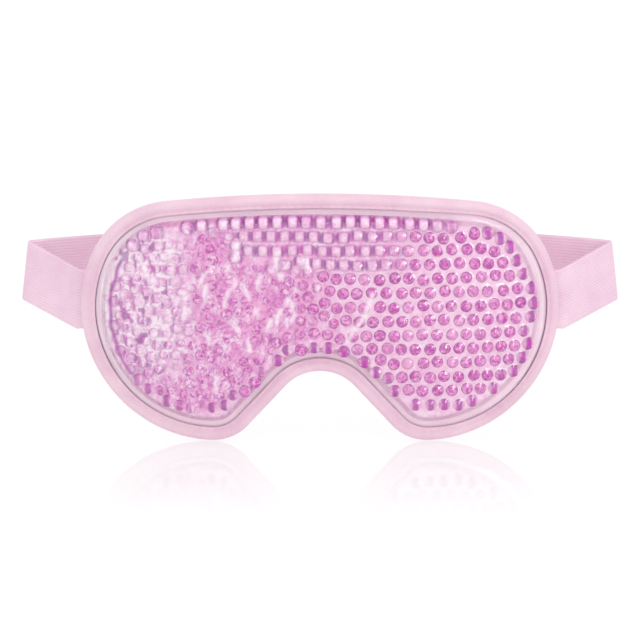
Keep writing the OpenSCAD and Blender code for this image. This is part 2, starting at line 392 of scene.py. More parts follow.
def bead_sites():
    """Places, radii, looseness and depth of the beads, pushed apart and moved in to bead_room."""
    rng = np.random.default_rng(SEED)
    rows, crowded = bead_rows(1.0), bead_rows(CROWDED)
    rows = rows[looseness(*rows.T) < 0.5]
    crowded = crowded[looseness(*crowded.T) >= 0.5]
    sites = np.concatenate([rows, crowded])
    loose = looseness(*sites.T)
    sites = sites + rng.normal(0, 1, sites.shape) * (0.12 + 1.35 * loose)[:, None]
    at = nearest(sites.T, EDGE)[1]
    depth = ((sites - EDGE[at]) * INWARD[at]).sum(1)
    keep = depth > bead_room(*sites.T) - 2.8
    sites, loose = sites[keep], loose[keep]
    radius = BEAD_R * (1 - loose * rng.uniform(0, 0.2, len(sites)))
    sunk = loose * rng.uniform(-0.1, 0.9, len(sites))
    for _ in range(PUSHES):
        gap = sites[:, None] - sites[None]
        dist = np.sqrt((gap**2).sum(2)) + np.eye(len(sites)) * 99
        want = PUSH_GAP * (radius[:, None] + radius[None])
        sites = sites + 0.35 * (np.clip(want - dist, 0, None)[..., None] * gap / dist[..., None]).sum(1)
        at = nearest(sites.T, EDGE)[1]
        depth = ((sites - EDGE[at]) * INWARD[at]).sum(1)
        short = np.clip(bead_room(*sites.T) - depth, 0, None)
        sites = sites + INWARD[at] * short[:, None]
    return sites, radius, loose, sunk


SITES, SITE_R, SITE_LOOSE, SITE_SUNK = bead_sites()


def nearest_bead(x, z):
    """Distance to the nearest bead, on the scale of a full bead, and its index."""
    return nearest((x, z), SITES, BEAD_R / SITE_R)


# ---------------------------------------------------------------- folds in the film
def film_folds():
    """Raised folds of the film, each from one place to another: one long, the others short."""
    rng = np.random.default_rng(SEED + 2)
    folds = [(np.array([11.0, -11.0]), np.array([23.0, 11.0]))]
    while len(folds) < FOLD_COUNT:
        start = np.array([rng.uniform(-72, 4), rng.uniform(-36, 26)])
        lean, length = rng.normal(84, 16), rng.uniform(3, 9)
        run = np.array([math.cos(math.radians(lean)), math.sin(math.radians(lean))])
        if inset_of(*start) > 16 and looseness(*start) > 0.35:
            folds.append((start, start + run * length))
    return folds


FOLDS = film_folds()


def fold_weight(x, z, width):
    """1 on the crest of a fold of the film, falling to 0 beside it."""
    weight = np.zeros(np.shape(x))
    for start, stop in FOLDS:
        length = np.linalg.norm(stop - start)
        run = (stop - start) / length
        along = (x - start[0]) * run[0] + (z - start[1]) * run[1]
        across = (x - start[0]) * run[1] - (z - start[1]) * run[0] + 0.6 * np.sin(along / 3)
        ends = smooth(-1.5, 2, along) * (1 - smooth(length - 2, length + 1.5, along))
        weight = np.maximum(weight, ends * np.exp(-((across / width) ** 2)))
    return weight


def pouch_h(inset):
    """Height of the film between the beads."""
    s = np.clip((inset - WELD_INSET) / WALL_W, 0, 1)
    wall = 0.5 * np.sin(s * math.pi / 2) + 0.5 * smooth(0, 1, s)
    crown = CROWN * smooth(WELD_INSET + WALL_W, WELD_INSET + CROWN_W, inset)
    return FLANGE_H + WALL_H * wall + crown


# ---------------------------------------------------------------- colours of the gel and its films, with painted light and shade
# WHITE is also used for painted highlights and glare, and SLATE for dark bars of painted shade.
WHITE = rgb("fff6fb")
PALE = rgb("f6d3e8")
PINK = rgb("f1b4dc")
ROSE = rgb("e78cd0")
MAGENTA = rgb("cf55ba")
RICH = rgb("bc3cab")
SLATE = rgb("785496")
RING = rgb("c683bf")
FILM_TINT = rgb("fadeec")
# Two painted colours: a glint on the film's creases, and shade in the crease along the binding.
CREASE_GLINT = rgb("fffafc")
EDGE_SHADE = rgb("74608a")


def wall_shade_weight(x, z, inset):
    """1 on the outermost beads, which are painted with dark bars of shade where the pouch turns over its
    wall.
    """
    return (1 - smooth(13.4, 16.4, inset)) * smooth(-0.9, 0.1, value_noise(x / 7, z / 7, 3))


def left_glare_weight(x, z):
    """1 in the part of the pouch at its left side that is painted bright, as glare."""
    return (1 - smooth(-64, -46, x)) * smooth(-34, -14, z) * (1 - smooth(30, 40, z))


def pane_shading_weight(x, z):
    """1 where the beads are painted as bright panes of highlight between bars of shade: top rows and left
    side.
    """
    rows = smooth(17, 23, z) * smooth(-42, -34, x) * (1 - smooth(22, 44, x))
    top = smooth(34, 38, z) * smooth(-84, -76, x) * (1 - smooth(40, 66, x))
    patchy = 0.8 + 0.2 * value_noise(x / 8, z / 8, 4)
    return np.clip(np.maximum(np.maximum(rows, top), left_glare_weight(x, z) * patchy), 0, 1)


def left_wall_shade(x, z, inset):
    """1 on the line of painted shade along which the pouch turns over at its left side."""
    line = np.exp(-(((inset - 12.3 - 0.7 * value_noise(z / 5, 0 * z, 13)) / 0.9) ** 2))
    return line * (1 - smooth(-82, -72, x)) * smooth(-30, -24, z) * (1 - smooth(22, 28, z))


def crease_glint_weight(x, z, inset):
    """1 on the painted glints of the film's creases that run along the edge, mostly at the left."""
    crease = smooth(0.1, 0.9, np.sin(inset * 3.1 + 2.4 * value_noise(z / 11, x / 40, 14)))
    side = np.maximum(1 - smooth(-84, -68, x), 0.5 * smooth(76, 90, x))
    return (0.2 + 0.8 * side) * crease


def mottle(x, z):
    """Colour of jumbled gel: pink with pale upright dashes and small dark flecks."""
    cloud = 0.5 + 0.5 * value_noise(x / 2.0, z / 4.2, 15)
    fleck = 0.5 + 0.5 * value_noise(x / 1.05, z / 1.2, 16)
    grain = 0.5 + 0.5 * value_noise(x / 0.7, z / 0.7, 17)
    pale = 0.46 - 0.16 * (1 - smooth(-24, -8, z))
    colour = mix(PINK, WHITE, 0.9 * smooth(pale, pale + 0.32, cloud))
    colour = mix(colour, ROSE, 0.62 * smooth(0.45, 0.75, grain))
    return mix(colour, MAGENTA, 0.85 * smooth(0.64, 0.86, fleck))


def dark_blobs(x, z):
    """1 on the few dark blots between the bright panes of the left side."""
    blots = smooth(0.42, 0.62, value_noise(x / 1.6, z / 2.6, 23))
    return blots * left_glare_weight(x, z) * (1 - smooth(-64, -56, x)) * smooth(-88, -84, x)


def gel_colour(x, z, inset):
    """Colour of the gel between the beads: a pale net, with dark bars of painted shade beside the panes.
    """
    pane_shading = pane_shading_weight(x, z)
    loose = looseness(x, z)
    dist, index = nearest_bead(x, z)
    beside = np.abs(x - SITES[index, 0]) / np.maximum(dist, 0.1)
    # Painted shade: dark crescents beside each bead, which make the bars between the panes.
    crescent = np.exp(-(((dist - 2.8) / 0.75) ** 2)) * smooth(0.35, 0.85, beside)
    fleck = 0.5 + 0.5 * value_noise(x / 1.3, z / 1.3, 5)
    cloud = 0.5 + 0.5 * value_noise(x / 7, z / 7, 6)
    swirl = 1 - np.abs(value_noise(x / 1.9 + 3 * cloud, z / 2.3, 9))
    net = mix(WHITE, PINK, np.clip((0.32 + 0.35 * loose + 0.4 * cloud) * (0.4 + fleck), 0, 1))
    net = mix(net, mottle(x, z), 0.8 * np.maximum(loose, 0.6 * pane_shading))
    # Painted glare: the net is whitened at the left side.
    net = mix(net, WHITE, 0.9 * left_glare_weight(x, z))
    # Painted glints along the film's creases near the edge.
    net = mix(net, WHITE, crease_glint_weight(x, z, inset) * (1 - smooth(11, 12.5, inset)))
    net = mix(net, ROSE, 0.6 * np.maximum(loose, 0.8 * pane_shading) * smooth(0.72, 0.97, swirl))
    bar = mix(SLATE, MAGENTA, np.clip(1.3 * fleck * cloud + 0.25, 0, 1))
    sparse = 1 - 0.6 * left_glare_weight(x, z) * smooth(-0.2, 0.4, value_noise(x / 5, z / 5, 19))
    # Painted shade: dark bars beside the panes, and along the line where the pouch turns over at the left.
    colour = mix(net, bar, np.clip(pane_shading * crescent * sparse, 0, 0.95))
    colour = mix(colour, bar, 0.95 * np.maximum(left_wall_shade(x, z, inset), 0.75 * dark_blobs(x, z)))
    # Painted highlight: whitened under each fold of the film, where its crest would glint.
    fold = 0.9 * fold_weight(x, z, 1.2)
    streaks = 0.6 * loose * (1 - fold) * (1 - left_glare_weight(x, z))
    return np.concatenate([mix(colour, WHITE, fold), streaks[..., None]], -1)


def bead_colour(local, index, places):
    """Colour over the beads, from the direction on each bead (across, up, out) and its place, with painted
    light and shade.
    """
    rng = np.random.default_rng(SEED + 1)
    count = len(SITES)
    x, z = SITES.T
    pane_shading = pane_shading_weight(x, z)[index]
    room = inset_of(x, z) - bead_room(x, z) + WELD_INSET + BEAD_R
    wall = wall_shade_weight(x, z, room)[index]
    loose = SITE_LOOSE[index]
    depth = rng.normal(0, 0.22, count)[index]
    turn = rng.uniform(-0.4, 0.4, count)[index]
    rich = (rng.random(count) < 0.08)[index]
    across, up, out = local.T
    blotch = 0.5 + 0.5 * value_noise(across * 2.6 + 9 * index, up * 2.6, 8)
    curl = 1 - np.abs(value_noise(across * 3.1 + 5 * index, up * 3.1 + across, 12))
    low = smooth(0.5, -0.7, up)
    core = mix(PINK, ROSE, np.clip(0.25 + depth + 0.8 * blotch, 0, 1))
    core = mix(core, MAGENTA, np.clip(1.1 * (blotch - 0.52) + 0.15 * low + 0.6 * depth, 0, 0.6))
    core = mix(core, MAGENTA, 0.3 * smooth(0.8, 0.97, curl))
    core = mix(core, RICH, 0.8 * rich * blotch)
    core = mix(core, PALE, (0.35 + 0.4 * loose) * smooth(0.55, 0.8, 1 - blotch))
    rough_out = out + 0.07 * value_noise(across * 4 + 7 * index, up * 4, 18)
    disc = mix(RING, core, np.maximum(smooth(0.50, 0.60, rough_out), 0.6 * loose))
    jumble = mottle(*places.T)
    disc = mix(disc, jumble, 0.75 * smooth(0.35, 0.9, loose))
    # Painted shade: the outermost beads turn into dark bars with a pale middle.
    slant = np.abs(across + turn * loose)
    dark = mix(SLATE, MAGENTA, np.clip(0.15 + blotch, 0, 1))
    bar = mix(mix(dark, RICH, 0.6 * blotch), PALE, smooth(0.30, 0.62, slant))
    disc = mix(disc, bar, 0.9 * wall)
    # Painted highlight and shade: a bright pane in the middle of each bead, dark at its sides.
    strong = (1 - 0.75 * loose * rng.random(count)[index]) * smooth(0.46, 0.74, slant)
    pale = mix(WHITE, PINK, np.clip((0.62 - 0.6 * loose) * (0.6 + 0.8 * blotch), 0, 1))
    pane = mix(pale, dark, strong)
    pane = mix(pane, RING, 0.6 * smooth(0.6, 0.8, np.abs(up)) + 0.15 * smooth(0.85, 0.95, curl))
    pane = mix(pane, ROSE, 0.3 * loose * smooth(0.5, 0.75, blotch))
    colour = mix(disc, pane, pane_shading)
    # Painted shade along the line where the pouch turns over at the left, and the dark blots.
    turn_over = left_wall_shade(*places.T, nearest(places.T, EDGE)[0])
    colour = mix(colour, dark, 0.95 * np.maximum(turn_over, 0.75 * dark_blobs(*places.T)))
    # Painted highlight: whitened under each fold of the film, where its crest would glint.
    fold = 0.9 * fold_weight(*places.T, 1.2)
    streaks = (1 - 0.65 * pane_shading) * (1 - 0.6 * wall) * (1 - fold) * (0.85 + depth)
    return np.concatenate([mix(colour, WHITE, fold), np.clip(streaks, 0, 1)[:, None]], 1)


# ---------------------------------------------------------------- materials
def new_material(name):
    """A material, its node tree and its main shader."""
    mat = bpy.data.materials.new(name)
    mat.use_nodes = True
    return mat, mat.node_tree, mat.node_tree.nodes["Principled BSDF"]


def node(tree, kind, sockets=None, **settings):
    """Adds a node, sets its properties, and sets or links its inputs."""
    made = tree.nodes.new(kind)
    for key, value in settings.items():
        setattr(made, key, value)
    for key, value in (sockets or {}).items():
        if isinstance(value, bpy.types.NodeSocket):
            tree.links.new(value, made.inputs[key])
        else:
            made.inputs[key].default_value = value
    return made


def ramp(tree, factor, *stops):
    """Colour from a factor, through stops of (place, colour)."""
    made = node(tree, "ShaderNodeValToRGB", {"Fac": factor})
    elements = made.color_ramp.elements
    while len(elements) < len(stops):
        elements.new(0.5)
    for element, (place, colour) in zip(elements, stops):
        element.position = place
        element.color = (*colour, 1)
    return made.outputs["Color"]


def noise(tree, scale, detail=3.0, rough=0.55, distortion=0.0):
    """Noise over the object's own coordinates."""
    where = node(tree, "ShaderNodeTexCoord").outputs["Object"]
    return node(tree, "ShaderNodeTexNoise", {
        "Vector": where, "Scale": scale, "Detail": detail, "Roughness": rough, "Distortion": distortion,
    }).outputs["Fac"]


def bump(tree, height, strength, distance, under=None):
    """A bumped normal from a height, on top of another if given."""
    sockets = {"Height": height, "Strength": strength, "Distance": distance}
    if under:
        sockets["Normal"] = under
    return node(tree, "ShaderNodeBump", sockets).outputs["Normal"]


def multiply(tree, a, b):
    """Product of two colours."""
    made = node(tree, "ShaderNodeMix", data_type="RGBA", blend_type="MULTIPLY")
    made.inputs["Factor"].default_value = 1.0
    tree.links.new(a, made.inputs[6])
    tree.links.new(b, made.inputs[7])
    return made.outputs[2]


def tint_and_shading_of(tree):
    """The colour stored on the mesh, which holds painted light and shade."""
    return node(tree, "ShaderNodeAttribute", attribute_name="tint_and_shading").outputs["Color"]


def gel_material(name, rough, streak):
    """Soft hydrogel: the mesh's stored colour with painted light and shade, curled streaks where it asks,
    a wet gloss.
    """
    mat, tree, bsdf = new_material(name)
    tint_and_shading = node(tree, "ShaderNodeAttribute", attribute_name="tint_and_shading")
    curls = ramp(tree, noise(tree, 660, 2, 0.5, 1.0), (0.40, streak), (0.46, streak), (0.53, [1.0] * 3))
    asked = {0: tint_and_shading.outputs["Alpha"], 6: (1, 1, 1, 1), 7: curls}
    shown = node(tree, "ShaderNodeMix", asked, data_type="RGBA").outputs[2]
    flecks = ramp(tree, noise(tree, 1500, 3), (0.32, [0.90] * 3), (0.58, [1.0] * 3))
    colour = multiply(tree, multiply(tree, tint_and_shading.outputs["Color"], shown), flecks)
    tree.links.new(colour, bsdf.inputs["Base Color"])
    bsdf.inputs["Roughness"].default_value = rough
    bsdf.inputs["IOR"].default_value = 1.38
    bsdf.inputs["Subsurface Weight"].default_value = 0.15
    bsdf.inputs["Subsurface Radius"].default_value = (0.001, 0.0006, 0.0008)
    tree.links.new(bump(tree, noise(tree, 700, 2), 0.35, 0.0003), bsdf.inputs["Normal"])
    return mat


def clear_film_material():
    """Clear soft vinyl: nearly all light goes through it, and it mirrors more at a slant."""
    mat, tree, bsdf = new_material("clear_film")
    waves = bump(tree, noise(tree, 130, 2), 0.5, 0.0006)
    ripple = bump(tree, noise(tree, 520, 2), 0.3, 0.0002, waves)
    clear = node(tree, "ShaderNodeBsdfTransparent", {"Color": (1.0, 0.985, 0.995, 1)}).outputs[0]
    gloss = node(tree, "ShaderNodeBsdfGlossy", {"Roughness": 0.12, "Normal": ripple}).outputs[0]
    facing = node(tree, "ShaderNodeLayerWeight", {"Blend": 0.5}).outputs["Facing"]
    slant = node(tree, "ShaderNodeMath", {0: facing, 1: 5.0}, operation="POWER").outputs[0]
    mirror = node(tree, "ShaderNodeMath", {0: slant, 1: 0.8, 2: 0.05}, operation="MULTIPLY_ADD").outputs[0]
    both = node(tree, "ShaderNodeMixShader", {0: mirror, 1: clear, 2: gloss}).outputs[0]
    tree.links.new(both, tree.nodes["Material Output"].inputs["Surface"])
    tree.nodes.remove(bsdf)
    return mat


def rear_film_material():
    """Glossy back film under its stored colour, which holds painted shade and glints, a little cloudy."""
    mat, tree, bsdf = new_material("gel_film")
    cloud = ramp(tree, noise(tree, 90, 4), (0.3, [0.93] * 3), (0.7, [1.0] * 3))
    tree.links.new(multiply(tree, tint_and_shading_of(tree), cloud), bsdf.inputs["Base Color"])
    bsdf.inputs["Roughness"].default_value = 0.28
    tree.links.new(bump(tree, noise(tree, 260, 3), 0.4, 0.0004), bsdf.inputs["Normal"])
    return mat


def cloth_material(name, low, high, weave, depth, rough, sheen, blotch=60, shaded=False):
    """Fabric: two close tones in soft blotches, a fine weave in the bump, a sheen of fibres, and if
    shaded, painted shade.
    """
    mat, tree, bsdf = new_material(name)
    fine = noise(tree, weave, 3, 0.7)
    tone = ramp(tree, noise(tree, blotch, 4), (0.32, rgb(low)), (0.68, rgb(high)))
    grain = ramp(tree, fine, (0.30, [0.93] * 3), (0.62, [1.0] * 3))
    colour = multiply(tree, tone, grain)
    if shaded:
        colour = multiply(tree, colour, tint_and_shading_of(tree))
    tree.links.new(colour, bsdf.inputs["Base Color"])
    bsdf.inputs["Roughness"].default_value = rough
    bsdf.inputs["Sheen Weight"].default_value = sheen
    bsdf.inputs["Sheen Roughness"].default_value = 0.45
    bsdf.inputs["Specular IOR Level"].default_value = 0.25
    tree.links.new(bump(tree, fine, 0.6, depth), bsdf.inputs["Normal"])
    return mat


BINDING = cloth_material("binding_cloth", "e3bdd0", "ebccda", 1500, 0.00025, 0.7, 0.2, shaded=True)
ELASTIC = cloth_material("ribbed_elastic", "ecc8dd", "f4d5e5", 1700, 0.0002, 0.75, 0.15, shaded=True)
PLUSH = cloth_material("plush_pile", "efc6da", "f8dae8", 700, 0.0009, 0.95, 0.5, 120)
THREAD = cloth_material("sewing_thread", "eec2d6", "f6d2e2", 2600, 0.0001, 0.55, 0.2)
HOOK = cloth_material("hook_tape", "e6b4cc", "efc4d8", 1300, 0.0004, 0.6, 0.1)
LOOP = cloth_material("loop_pile", "eec2d6", "f6d2e2", 900, 0.0008, 0.95, 0.5)
BEAD_GEL = gel_material("bead_gel", 0.16, [0.70, 0.24, 0.68])
LIQUID_GEL = gel_material("liquid_gel", 0.22, [0.80, 0.45, 0.78])
CLEAR_FILM = clear_film_material()
GEL_FILM = rear_film_material()


# ---------------------------------------------------------------- the gel pouch
def make_front_film():
    """Clear flange and domed face of the pouch, bumped by the beads, folded and wrinkled."""
    place = mask_grid(SHEET_INSET, 300, 150)
    x, z = place
    inset = inset_of(x, z)
    pressed = smooth(WELD_INSET, WELD_INSET + WALL_W, inset)
    bumps = BUMP * np.exp(-((nearest_bead(x, z)[0] / BUMP_R) ** 2)) * pressed
    beside = smooth(WELD_INSET - 2, WELD_INSET, inset) * (1 - smooth(15, 20, inset))
    wave = np.sin(inset * 2.1 + 2.7 * value_noise(z / 9, x / 30, 11))
    wrinkles = 0.25 * (1 - smooth(-78, -58, x)) * beside * wave
    h = pouch_h(inset) + bumps + wrinkles + 0.8 * fold_weight(x, z, 0.9)
    film = slab("front_film_sheet", place, h, h - FILM_T, CLEAR_FILM)
    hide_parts("front_film")
    return film


def make_gel_liquid():
    """The gel that fills the pouch round the beads: a closed body under the film."""
    place = mask_grid(WELD_INSET + 0.3, 330, 160)
    inset = inset_of(*place)
    base = REAR_FILM_H + 0.05
    h = np.maximum(pouch_h(inset) - GEL_BELOW - FILM_T, base + 0.07)
    return slab("gel_liquid", place, h, base, LIQUID_GEL, gel_colour(*place, inset))


def make_beads():
    """Every gel bead as a round body whose pole faces out of the pouch."""
    segments, rings = 24, 12
    polar = np.pi * np.arange(1, rings) / rings
    turn = 2 * np.pi * np.arange(segments) / segments
    ring = np.stack([
        np.outer(np.sin(polar), np.cos(turn)),
        np.outer(np.sin(polar), np.sin(turn)),
        np.outer(np.cos(polar), np.ones(segments)),
    ], -1).reshape(-1, 3)
    local = np.concatenate([ring, [[0, 0, 1], [0, 0, -1]]])
    one = grid_faces(rings - 1, segments, True, flip=True)
    front, back, last = len(ring), len(ring) + 1, (rings - 2) * segments
    for k in range(segments):
        after = (k + 1) % segments
        one.append([k, after, front])
        one.append([last + after, last + k, back])
    x, z = SITES.T
    h = pouch_h(inset_of(x, z)) + BEAD_PROUD - SITE_SUNK - SITE_R
    h = np.maximum(h, REAR_FILM_H + 0.1 + SITE_R)
    out = bend_out(x)
    axes = np.stack([np.stack([-out[:, 1], out[:, 0], 0 * x], -1), np.tile(UP, (len(x), 1)), out], 1)
    verts = bend(x, z, h)[:, None] + SITE_R[:, None, None] * np.einsum("pk,bkc->bpc", local, axes)
    verts = verts.reshape(-1, 3)
    faces = [[i + b * len(local) for i in f] for b in range(len(x)) for f in one]
    index = np.repeat(np.arange(len(x)), len(local))
    colours = bead_colour(np.tile(local, (len(x), 1)), index, verts[:, [0, 2]])
    beads = make("gel_bead_fill", verts, faces, BEAD_GEL, "mask", colours)
    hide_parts("gel_beads")
    return beads


def make_rear_film():
    """Tinted back sheet of the pouch, with painted shade along the binding and painted glints on the
    film's creases.
    """
    place = mask_grid(SHEET_INSET, 300, 150)
    inset = inset_of(*place)
    # Painted shade in the crease along the binding, strongest at the sides except low in the lobes.
    crease = np.exp(-(((inset - bind_width(place[0])) / 0.5) ** 2))
    x, z = place
    dark = 0.42 + 0.48 * smooth(60, 88, np.abs(x)) * smooth(-42, -14, z)
    # Painted glints on the film's creases.
    colour = mix(FILM_TINT, CREASE_GLINT, crease_glint_weight(x, z, inset))
    colour = mix(colour, EDGE_SHADE, dark * crease)
    flat = np.zeros(inset.shape)
    film = slab("rear_film_sheet", place, flat + REAR_FILM_H, flat + PLUSH_T + 0.05, GEL_FILM,
                colour)
    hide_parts("rear_film")
    return film


# ---------------------------------------------------------------- the cloth of the mask
def make_plush():
    """Plush backing: a closed pad whose pile stands up in small tufts on the face side."""
    place = mask_grid(SHEET_INSET, 260, 130)
    x, z = place
    tuft = 0.32 * value_noise(x / 1.1, z / 1.1, 21) + 0.2 * value_noise(x / 4, z / 4, 22)
    open_pile = smooth(BIND_W - 0.5, BIND_W + 3.5, inset_of(x, z))
    back_h = 0.4 - (0.5 + 0.8 * tuft) * open_pile
    front_h = np.full(x.shape, PLUSH_T - 0.02)
    pad = slab("plush_pad", place, front_h, back_h, PLUSH)
    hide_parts("plush_backing")
    return pad


def bind_width(x):
    """Width of the binding on the front: it is pulled a little narrower at the right."""
    return BIND_W - 0.9 * smooth(30, 92, x)


# Section of the folded tape as (inset, height): outside from front to back, then the channel.
TAPE_OUTSIDE = [
    (6.0, 4.1), (5.85, 4.5), (5.5, 4.74), (5.1, 4.7), (4.8, 4.56), (4.45, 4.74), (3.8, 5.02),
    (2.9, 5.15), (1.9, 4.95), (1.0, 4.35), (0.35, 3.4), (0.0, 2.1), (0.15, 0.9), (0.7, -0.1),
    (1.6, -0.8), (2.8, -1.1), (3.9, -1.05), (4.45, -0.8), (4.8, -0.55), (5.1, -0.75), (5.6, -0.75),
    (6.0, -0.35),
]
TAPE_CHANNEL = [(5.7, -0.05), (3.5, -0.05), (1.4, 0.2), (1.2, 1.8), (1.4, 3.7), (3.5, 3.86), (5.7, 3.88)]


def edge_run(loop):
    """Length along a closed loop up to each of its points, and its whole length."""
    step = np.linalg.norm(np.roll(loop, -1, 0) - loop, axis=1)
    run = np.concatenate([[0], np.cumsum(step)])
    return run[:-1], run[-1]


def make_binding():
    """Folded tape round the whole edge, puckered between its stitches, with painted shade in its colour.
    """
    run, length = edge_run(EDGE)
    pitch = length / round(length / STITCH_PITCH)
    pucker = np.sin(run * 2 * np.pi / pitch)
    squeeze = bind_width(EDGE[:, 0]) / BIND_W
    rings, colours = [], []
    for k, (inset, h) in enumerate(TAPE_OUTSIDE + TAPE_CHANNEL):
        outside = 1.0 if k < len(TAPE_OUTSIDE) else 0.0
        near_stitch = math.exp(-(((inset - STITCH_INSET) / 1.6) ** 2))
        swell = value_noise(run / 6, np.full(len(run), inset / 3.0), 31)
        lift = outside * (0.07 * near_stitch * pucker + 0.1 * swell) * (1 if h > 2 else -1)
        place = EDGE + INWARD * (inset * squeeze)[:, None]
        rings.append(bend(place[:, 0], place[:, 1], h + lift))
        # Painted shade: darker in the stitch groove and along the middle of the tape, lighter at its
        # edges, and following its swell.
        painted_shade = 0.05 * math.exp(-(((inset - STITCH_INSET) / 0.35) ** 2))
        painted_shade += 0.07 * math.exp(-(((inset - 3.5) / 0.9) ** 2)) - 0.03
        colours.append(np.repeat((1 - painted_shade + 0.02 * swell)[:, None], 3, 1))
    verts, faces = sweep(np.stack(rings, 1), closed_path=True)
    colours = np.stack(colours, 1).reshape(-1, 3)
    tape = make("binding_tape", verts, faces, BINDING, "mask", colours)
    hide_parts("edge_binding")
    return tape


def stitch(points, radius, sides=6):
    """Rings of one plump stitch over three points, thin at both ends."""
    a, m, b = (np.asarray(p, float) for p in points)
    t = np.linspace(0, 1, 7)[:, None]
    line = (1 - t) ** 2 * a + 2 * t * (1 - t) * m + t**2 * b
    run = unit(b - a)
    side = unit(np.cross(run, [0.13, 0.2, 0.97]))
    up = np.cross(side, run)
    fat = radius * np.sqrt(np.clip(1 - (2 * t - 1) ** 6, 0.05, 1))
    turn = 2 * np.pi * np.arange(sides) / sides
    ring = np.cos(turn)[None, :, None] * side + np.sin(turn)[None, :, None] * up
    return line[:, None] + fat[:, None] * ring


def make_stitches(name, body, cad_node, stitches, radius=0.18):
    """One thread piece from the three points of each of its stitches."""
    verts, faces = [], []
    for points in stitches:
        v, f = sweep(stitch(points, radius), flip=True)
        faces += [[i + len(verts) for i in face] for face in f]
        verts += list(v)
    thread = make(name, verts, faces, THREAD, body)
    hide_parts(cad_node)
    return thread


def edge_stitches(height, lift, behind_strap=False):
    """Stitches round the binding on one face, left out where the strap ends lie over them."""
    loop = EDGE + INWARD * (STITCH_INSET * bind_width(EDGE[:, 0]) / BIND_W)[:, None]
    run, length = edge_run(loop)
    pitch = length / round(length / STITCH_PITCH)
    at = lambda s: np.array([np.interp(s, run, loop[:, k], period=length) for k in (0, 1)])
    stitches = []
    for s in np.arange(0, length - pitch / 2, pitch):
        x, z = at(s)
        if behind_strap and abs(x) > HALF_W - 9 and abs(z - SEAM_Z) < 15:
            continue
        places = [at(s + d) for d in (0.4, pitch / 2, pitch - 0.4)]
        stitches.append([bend(*p, height + extra) for p, extra in zip(places, (0, lift, 0))])
    return stitches


# ---------------------------------------------------------------- the strap
def rear_point(x):
    """Centre of the strap at x on its back run, which is a parabola in plan."""
    x = np.asarray(x, float)
    return np.stack([x, REAR_Y - (REAR_Y - CREASE_Y) * (x / CREASE_X) ** 2, 0 * x + REAR_Z], -1)


def rear_out(x):
    """Direction away from the head at x on the back run of the strap."""
    x = np.asarray(x, float)
    return unit(np.stack([2 * (REAR_Y - CREASE_Y) * x / CREASE_X**2, 0 * x + 1, 0 * x], -1))


SEWN_H = -BIND_T - TAPE_GAP - STRAP_T / 2
SEAM = bend(SEAM_X, SEAM_Z, SEWN_H)
CREASE = np.array([CREASE_X, CREASE_Y, REAR_Z])
REAR_DIR = unit([-CREASE_X, 2 * (REAR_Y - CREASE_Y), 0])
LEAN = math.radians(CREASE_LEAN)
CREASE_DIR = REAR_DIR * math.sin(LEAN) + UP * math.cos(LEAN)


def strap_section(centre, up, out, extra, slim=0.0):
    """Ring of a ribbed band round its centre line; extra thickens its outer side, slim thins it."""
    k = np.arange(RIBS * RIB_STEPS + 1) / (RIBS * RIB_STEPS)
    across = ((k - 0.5) * STRAP_W)[:, None]
    rib = RIB_H * np.abs(np.sin(k * RIBS * np.pi))
    edge = 1 - 0.45 * np.exp(-((np.minimum(k, 1 - k) * STRAP_W / 0.5) ** 2))
    half = ((STRAP_T / 2 - RIB_H + rib) * edge - slim)[:, None]
    across = across * (1 - 2 * slim / STRAP_W)
    inner = centre - out * half + up * across
    outer = centre + out * (half + extra) + up * across
    return np.concatenate([inner, outer[::-1]])


def band(name, stations, mirror):
    """A ribbed band through stations of (centre, up, out, extra thickness, how much slimmer)."""
    rings = [strap_section(*station) * mirror for station in stations]
    verts, faces = sweep(rings, flip=mirror[0] > 0)
    k = np.arange(RIBS * RIB_STEPS + 1) / (RIBS * RIB_STEPS)
    # Painted shade: darker in the grooves between the ribs.
    rib = 0.90 + 0.10 * np.abs(np.sin(k * RIBS * np.pi))
    shade = np.tile(np.concatenate([rib, rib[::-1]]), len(rings))
    return make(name, verts, faces, ELASTIC, colours=np.repeat(shade[:, None], 3, 1))


